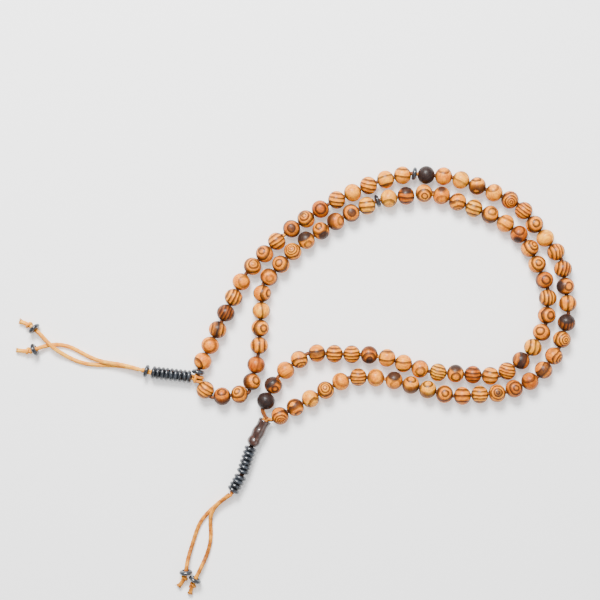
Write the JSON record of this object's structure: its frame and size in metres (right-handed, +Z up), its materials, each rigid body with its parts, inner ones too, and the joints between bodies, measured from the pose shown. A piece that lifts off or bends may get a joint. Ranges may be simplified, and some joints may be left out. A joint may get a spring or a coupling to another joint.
{
  "type": "mala prayer beads",
  "caption": "Loop of round striped wooden beads on satin cord with thin black discs, a turned guru bead, a hitched row of counter discs, and two pairs of knotted tails.",
  "frame": {"origin": "on the table the mala lies on, under the middle of the box round the strand, the guru and the counter, without the loose tails", "axes": "+Z up from the table; +X along the loop's long way, from the guru and the counter towards the loop's round end; +Y across the loop, away from the guru's tails"},
  "size_m": [0.2572, 0.1967, 0.0083],
  "materials": {
    "bead_wood": "polished, striped brown grain",
    "guru": "dark, high gloss lacquer",
    "disc": "semi-gloss black",
    "main_cord": "satin golden brown",
    "counter_cord": "satin pale gold",
    "guru_tail_cord": "satin orange brown"
  },
  "bodies": {
    "middle_strand": {"main_cord_middle": "main_cord"},
    "guru_arm": {"main_cord_guru_arm": "main_cord"},
    "upper_arm": {"main_cord_upper_arm": "main_cord"},
    "left_end": {"main_cord_left_end": "main_cord"},
    "beads_001_to_005": {"beads_001_to_005": "bead_wood"},
    "beads_006_to_007": {"beads_006_to_007": "bead_wood"},
    "beads_008_to_011": {"beads_008_to_011": "bead_wood"},
    "beads_012_to_014": {"beads_012_to_014": "bead_wood"},
    "beads_015_to_016": {"beads_015_to_016": "bead_wood"},
    "beads_017_to_018": {"beads_017_to_018": "bead_wood"},
    "beads_019_to_020": {"beads_019_to_020": "bead_wood"},
    "beads_021_to_023": {"beads_021_to_023": "bead_wood"},
    "beads_024_to_027": {"beads_024_to_027": "bead_wood"},
    "beads_028_to_029": {"beads_028_to_029": "bead_wood"},
    "beads_030_to_031": {"beads_030_to_031": "bead_wood"},
    "beads_032_to_033": {"beads_032_to_033": "bead_wood"},
    "separator_disc_1": {"separator_disc_1": "disc"},
    "beads_034_to_035": {"beads_034_to_035": "bead_wood"},
    "beads_036_to_038": {"beads_036_to_038": "bead_wood"},
    "beads_039_to_041": {"beads_039_to_041": "bead_wood"},
    "beads_042_to_044": {"beads_042_to_044": "bead_wood"},
    "beads_045_to_047": {"beads_045_to_047": "bead_wood"},
    "beads_048_to_050": {"beads_048_to_050": "bead_wood"},
    "separator_disc_2": {"separator_disc_2": "disc"},
    "beads_051_to_051": {"beads_051_to_051": "bead_wood"},
    "beads_052_to_053": {"beads_052_to_053": "bead_wood"},
    "beads_054_to_055": {"beads_054_to_055": "bead_wood"},
    "beads_056_to_059": {"beads_056_to_059": "bead_wood"},
    "beads_060_to_062": {"beads_060_to_062": "bead_wood"},
    "beads_063_to_065": {"beads_063_to_065": "bead_wood"},
    "beads_066_to_067": {"beads_066_to_067": "bead_wood"},
    "separator_disc_3": {"separator_disc_3": "disc"},
    "beads_068_to_069": {"beads_068_to_069": "bead_wood"},
    "beads_070_to_070": {"beads_070_to_070": "bead_wood"},
    "beads_071_to_074": {"beads_071_to_074": "bead_wood"},
    "beads_075_to_076": {"beads_075_to_076": "bead_wood"},
    "beads_077_to_079": {"beads_077_to_079": "bead_wood"},
    "beads_080_to_081": {"beads_080_to_081": "bead_wood"},
    "beads_082_to_083": {"beads_082_to_083": "bead_wood"},
    "beads_084_to_085": {"beads_084_to_085": "bead_wood"},
    "beads_086_to_089": {"beads_086_to_089": "bead_wood"},
    "beads_090_to_092": {"beads_090_to_092": "bead_wood"},
    "beads_093_to_096": {"beads_093_to_096": "bead_wood"},
    "beads_097_to_098": {"beads_097_to_098": "bead_wood"},
    "beads_099_to_100": {"beads_099_to_100": "bead_wood"},
    "guru_counter": {"guru_cord": "guru_tail_cord"},
    "guru_bead": {"guru_bead": "guru"},
    "guru_discs_upper": {"guru_discs_upper": "disc"},
    "guru_discs_lower": {"guru_discs_lower": "disc"},
    "guru_tails": {"guru_tail_1": "guru_tail_cord", "guru_tail_2": "guru_tail_cord"},
    "counter": {"counter_cord": "counter_cord"},
    "counter_discs": {"counter_discs": "disc"},
    "counter_disc_slid": {"counter_disc_slid": "disc"},
    "counter_tails": {"counter_tail_1": "counter_cord", "counter_tail_2": "counter_cord"},
    "counter_tail_1_disc": {"counter_tail_1_disc": "disc"},
    "counter_tail_2_disc": {"counter_tail_2_disc": "disc"},
    "guru_tail_1_disc": {"guru_tail_1_disc": "disc"},
    "guru_tail_2_disc": {"guru_tail_2_disc": "disc"}
  },
  "joints": [
    {"name": "guru_arm_lift", "type": "hinge", "parent": "middle_strand", "child": "guru_arm", "pos_m": [0.011, -0.01625, 0.00415], "axis": [-0.2747, 0.9615, 0], "range_deg": [0, 25]},
    {"name": "upper_arm_lift", "type": "hinge", "parent": "middle_strand", "child": "upper_arm", "pos_m": [0.0268, 0.0674, 0.00415], "axis": [0.1293, 0.9916, 0], "range_deg": [0, 25]},
    {"name": "left_end_lift", "type": "hinge", "parent": "upper_arm", "child": "left_end", "pos_m": [-0.0305, 0.04205, 0.00415], "axis": [-0.8192, 0.5735, 0], "range_deg": [0, 20]},
    {"name": "beads_001_to_005_spin", "type": "hinge", "parent": "guru_arm", "child": "beads_001_to_005", "pos_m": [-0.0395, -0.041, 0.00415], "axis": [0.8712, 0.4908, 0], "continuous": true},
    {"name": "beads_006_to_007_spin", "type": "hinge", "parent": "guru_arm", "child": "beads_006_to_007", "pos_m": [-0.004, -0.021, 0.00415], "axis": [0.9995, -0.0303, 0], "continuous": true},
    {"name": "beads_008_to_011_spin", "type": "hinge", "parent": "middle_strand", "child": "beads_008_to_011", "pos_m": [0.0125, -0.0215, 0.00415], "axis": [0.9655, -0.2605, 0], "continuous": true},
    {"name": "beads_012_to_014_spin", "type": "hinge", "parent": "middle_strand", "child": "beads_012_to_014", "pos_m": [0.044, -0.03, 0.00415], "axis": [0.9972, 0.0748, 0], "continuous": true},
    {"name": "beads_015_to_016_spin", "type": "hinge", "parent": "middle_strand", "child": "beads_015_to_016", "pos_m": [0.068, -0.0282, 0.00415], "axis": [0.904, 0.4276, 0], "continuous": true},
    {"name": "beads_017_to_018_spin", "type": "hinge", "parent": "middle_strand", "child": "beads_017_to_018", "pos_m": [0.0828, -0.0212, 0.00415], "axis": [0.5922, 0.8058, 0], "continuous": true},
    {"name": "beads_019_to_020_spin", "type": "hinge", "parent": "middle_strand", "child": "beads_019_to_020", "pos_m": [0.0925, -0.008, 0.00415], "axis": [0.2676, 0.9635, 0], "continuous": true},
    {"name": "beads_021_to_023_spin", "type": "hinge", "parent": "middle_strand", "child": "beads_021_to_023", "pos_m": [0.097, 0.0082, 0.00415], "axis": [-0.1353, 0.9908, 0], "continuous": true},
    {"name": "beads_024_to_027_spin", "type": "hinge", "parent": "middle_strand", "child": "beads_024_to_027", "pos_m": [0.0936, 0.0331, 0.00415], "axis": [-0.6171, 0.7869, 0], "continuous": true},
    {"name": "beads_028_to_029_spin", "type": "hinge", "parent": "middle_strand", "child": "beads_028_to_029", "pos_m": [0.0736, 0.0586, 0.00415], "axis": [-0.9133, 0.4073, 0], "continuous": true},
    {"name": "beads_030_to_031_spin", "type": "hinge", "parent": "middle_strand", "child": "beads_030_to_031", "pos_m": [0.0588, 0.0652, 0.00415], "axis": [-0.9398, 0.3417, 0], "continuous": true},
    {"name": "beads_032_to_033_spin", "type": "hinge", "parent": "middle_strand", "child": "beads_032_to_033", "pos_m": [0.0434, 0.0708, 0.00415], "axis": [-0.9972, 0.0748, 0], "continuous": true},
    {"name": "separator_disc_1_spin", "type": "hinge", "parent": "upper_arm", "child": "separator_disc_1", "pos_m": [0.0274, 0.072, 0.00415], "axis": [-0.9855, 0.1699, 0], "continuous": true},
    {"name": "beads_034_to_035_spin", "type": "hinge", "parent": "upper_arm", "child": "beads_034_to_035", "pos_m": [0.0245, 0.0725, 0.00415], "axis": [-0.9705, -0.2411, 0], "continuous": true},
    {"name": "beads_036_to_038_spin", "type": "hinge", "parent": "upper_arm", "child": "beads_036_to_038", "pos_m": [0.0088, 0.0686, 0.00415], "axis": [-0.9109, -0.4126, 0], "continuous": true},
    {"name": "beads_039_to_041_spin", "type": "hinge", "parent": "upper_arm", "child": "beads_039_to_041", "pos_m": [-0.0135, 0.0585, 0.00415], "axis": [-0.8258, -0.564, 0], "continuous": true},
    {"name": "beads_042_to_044_spin", "type": "hinge", "parent": "left_end", "child": "beads_042_to_044", "pos_m": [-0.034, 0.0445, 0.00415], "axis": [-0.6971, -0.717, 0], "continuous": true},
    {"name": "beads_045_to_047_spin", "type": "hinge", "parent": "left_end", "child": "beads_045_to_047", "pos_m": [-0.0515, 0.0265, 0.00415], "axis": [-0.4472, -0.8944, 0], "continuous": true},
    {"name": "beads_048_to_050_spin", "type": "hinge", "parent": "left_end", "child": "beads_048_to_050", "pos_m": [-0.0625, 0.0045, 0.00415], "axis": [-0.4307, -0.9025, 0], "continuous": true},
    {"name": "separator_disc_2_spin", "type": "hinge", "parent": "left_end", "child": "separator_disc_2", "pos_m": [-0.073, -0.0175, 0.00415], "axis": [-0.1961, -0.9806, 0], "continuous": true},
    {"name": "beads_051_to_051_spin", "type": "hinge", "parent": "left_end", "child": "beads_051_to_051", "pos_m": [-0.0725, -0.0235, 0.00415], "axis": [0.5812, -0.8137, 0], "continuous": true},
    {"name": "beads_052_to_053_spin", "type": "hinge", "parent": "left_end", "child": "beads_052_to_053", "pos_m": [-0.0675, -0.0305, 0.00415], "axis": [0.9935, 0.1135, 0], "continuous": true},
    {"name": "beads_054_to_055_spin", "type": "hinge", "parent": "left_end", "child": "beads_054_to_055", "pos_m": [-0.05, -0.0285, 0.00415], "axis": [0.249, 0.9685, 0], "continuous": true},
    {"name": "beads_056_to_059_spin", "type": "hinge", "parent": "left_end", "child": "beads_056_to_059", "pos_m": [-0.0455, -0.011, 0.00415], "axis": [0.0578, 0.9983, 0], "continuous": true},
    {"name": "beads_060_to_062_spin", "type": "hinge", "parent": "left_end", "child": "beads_060_to_062", "pos_m": [-0.0436, 0.0218, 0.00415], "axis": [0.682, 0.7313, 0], "continuous": true},
    {"name": "beads_063_to_065_spin", "type": "hinge", "parent": "upper_arm", "child": "beads_063_to_065", "pos_m": [-0.027, 0.0396, 0.00415], "axis": [0.8428, 0.5382, 0], "continuous": true},
    {"name": "beads_066_to_067_spin", "type": "hinge", "parent": "upper_arm", "child": "beads_066_to_067", "pos_m": [-0.0068, 0.0525, 0.00415], "axis": [0.9087, 0.4175, 0], "continuous": true},
    {"name": "separator_disc_3_spin", "type": "hinge", "parent": "upper_arm", "child": "separator_disc_3", "pos_m": [0.008, 0.0593, 0.00415], "axis": [0.9255, 0.3786, 0], "continuous": true},
    {"name": "beads_068_to_069_spin", "type": "hinge", "parent": "upper_arm", "child": "beads_068_to_069", "pos_m": [0.0102, 0.0602, 0.00415], "axis": [0.9871, 0.1604, 0], "continuous": true},
    {"name": "beads_070_to_070_spin", "type": "hinge", "parent": "middle_strand", "child": "beads_070_to_070", "pos_m": [0.0262, 0.0628, 0.00415], "axis": [0.993, 0.1182, 0], "continuous": true},
    {"name": "beads_071_to_074_spin", "type": "hinge", "parent": "middle_strand", "child": "beads_071_to_074", "pos_m": [0.0346, 0.0638, 0.00415], "axis": [0.9306, -0.366, 0], "continuous": true},
    {"name": "beads_075_to_076_spin", "type": "hinge", "parent": "middle_strand", "child": "beads_075_to_076", "pos_m": [0.0646, 0.052, 0.00415], "axis": [0.7803, -0.6254, 0], "continuous": true},
    {"name": "beads_077_to_079_spin", "type": "hinge", "parent": "middle_strand", "child": "beads_077_to_079", "pos_m": [0.0772, 0.0419, 0.00415], "axis": [0.4193, -0.9078, 0], "continuous": true},
    {"name": "beads_080_to_081_spin", "type": "hinge", "parent": "middle_strand", "child": "beads_080_to_081", "pos_m": [0.0875, 0.0196, 0.00415], "axis": [-0.0601, -0.9982, 0], "continuous": true},
    {"name": "beads_082_to_083_spin", "type": "hinge", "parent": "middle_strand", "child": "beads_082_to_083", "pos_m": [0.0865, 0.003, 0.00415], "axis": [-0.5054, -0.8629, 0], "continuous": true},
    {"name": "beads_084_to_085_spin", "type": "hinge", "parent": "middle_strand", "child": "beads_084_to_085", "pos_m": [0.0783, -0.011, 0.00415], "axis": [-0.8007, -0.599, 0], "continuous": true},
    {"name": "beads_086_to_089_spin", "type": "hinge", "parent": "middle_strand", "child": "beads_086_to_089", "pos_m": [0.0652, -0.0208, 0.00415], "axis": [-0.9977, 0.0671, 0], "continuous": true},
    {"name": "beads_090_to_092_spin", "type": "hinge", "parent": "middle_strand", "child": "beads_090_to_092", "pos_m": [0.0325, -0.0186, 0.00415], "axis": [-0.9495, 0.3137, 0], "continuous": true},
    {"name": "beads_093_to_096_spin", "type": "hinge", "parent": "guru_arm", "child": "beads_093_to_096", "pos_m": [0.0095, -0.011, 0.00415], "axis": [-0.9995, 0.0308, 0], "continuous": true},
    {"name": "beads_097_to_098_spin", "type": "hinge", "parent": "guru_arm", "child": "beads_097_to_098", "pos_m": [-0.023, -0.01, 0.00415], "axis": [-0.7863, -0.6178, 0], "continuous": true},
    {"name": "beads_099_to_100_spin", "type": "hinge", "parent": "guru_arm", "child": "beads_099_to_100", "pos_m": [-0.037, -0.021, 0.00415], "axis": [-0.4235, -0.9059, 0], "continuous": true},
    {"name": "guru_counter_lift", "type": "hinge", "parent": "guru_arm", "child": "guru_counter", "pos_m": [-0.042, -0.04, 0.00415], "axis": [-0.8831, 0.4692, 0], "range_deg": [0, 60]},
    {"name": "guru_bead_spin", "type": "hinge", "parent": "guru_counter", "child": "guru_bead", "pos_m": [-0.042, -0.04, 0.00415], "axis": [-0.468, -0.8809, -0.0716], "continuous": true},
    {"name": "guru_discs_upper_spin", "type": "hinge", "parent": "guru_counter", "child": "guru_discs_upper", "pos_m": [-0.0488, -0.0528, 0.00311], "axis": [-0.314, -0.9494, 0], "continuous": true},
    {"name": "guru_discs_lower_spin", "type": "hinge", "parent": "guru_counter", "child": "guru_discs_lower", "pos_m": [-0.0531, -0.0658, 0.00311], "axis": [-0.4874, -0.8732, 0], "continuous": true},
    {"name": "guru_tails_lift", "type": "hinge", "parent": "guru_counter", "child": "guru_tails", "pos_m": [-0.0579, -0.0744, 0.00311], "axis": [-0.8732, 0.4874, 0], "range_deg": [0, 60]},
    {"name": "counter_lift", "type": "hinge", "parent": "left_end", "child": "counter", "pos_m": [-0.07294, -0.02197, 0.00415], "axis": [-0.2747, 0.9615, 0], "range_deg": [0, 45]},
    {"name": "counter_discs_spin", "type": "hinge", "parent": "counter", "child": "counter_discs", "pos_m": [-0.0762, -0.0211, 0.00311], "axis": [-0.9933, 0.1156, 0], "continuous": true},
    {"name": "counter_disc_slide", "type": "slide", "parent": "counter", "child": "counter_disc_slid", "axis": [0.9715, -0.237, 0], "range_m": [0, 0.0008]},
    {"name": "counter_tails_lift", "type": "hinge", "parent": "counter", "child": "counter_tails", "pos_m": [-0.0992, -0.0179, 0.00311], "axis": [0.237, 0.9715, 0], "range_deg": [0, 60]},
    {"name": "counter_tail_1_disc_slide", "type": "slide", "parent": "counter_tails", "child": "counter_tail_1_disc", "axis": [0.9143, 0.3918, 0.1026], "range_m": [0, 0.0012]},
    {"name": "counter_tail_2_disc_slide", "type": "slide", "parent": "counter_tails", "child": "counter_tail_2_disc", "axis": [0.759, -0.6435, 0.099], "range_m": [0, 0.0015]},
    {"name": "guru_tail_1_disc_slide", "type": "slide", "parent": "guru_tails", "child": "guru_tail_1_disc", "axis": [0.0901, 0.9911, 0.0976], "range_m": [0, 0.002]},
    {"name": "guru_tail_2_disc_slide", "type": "slide", "parent": "guru_tails", "child": "guru_tail_2_disc", "axis": [0.4506, 0.8896, 0.0751], "range_m": [0, 0.0006]}
  ]
}
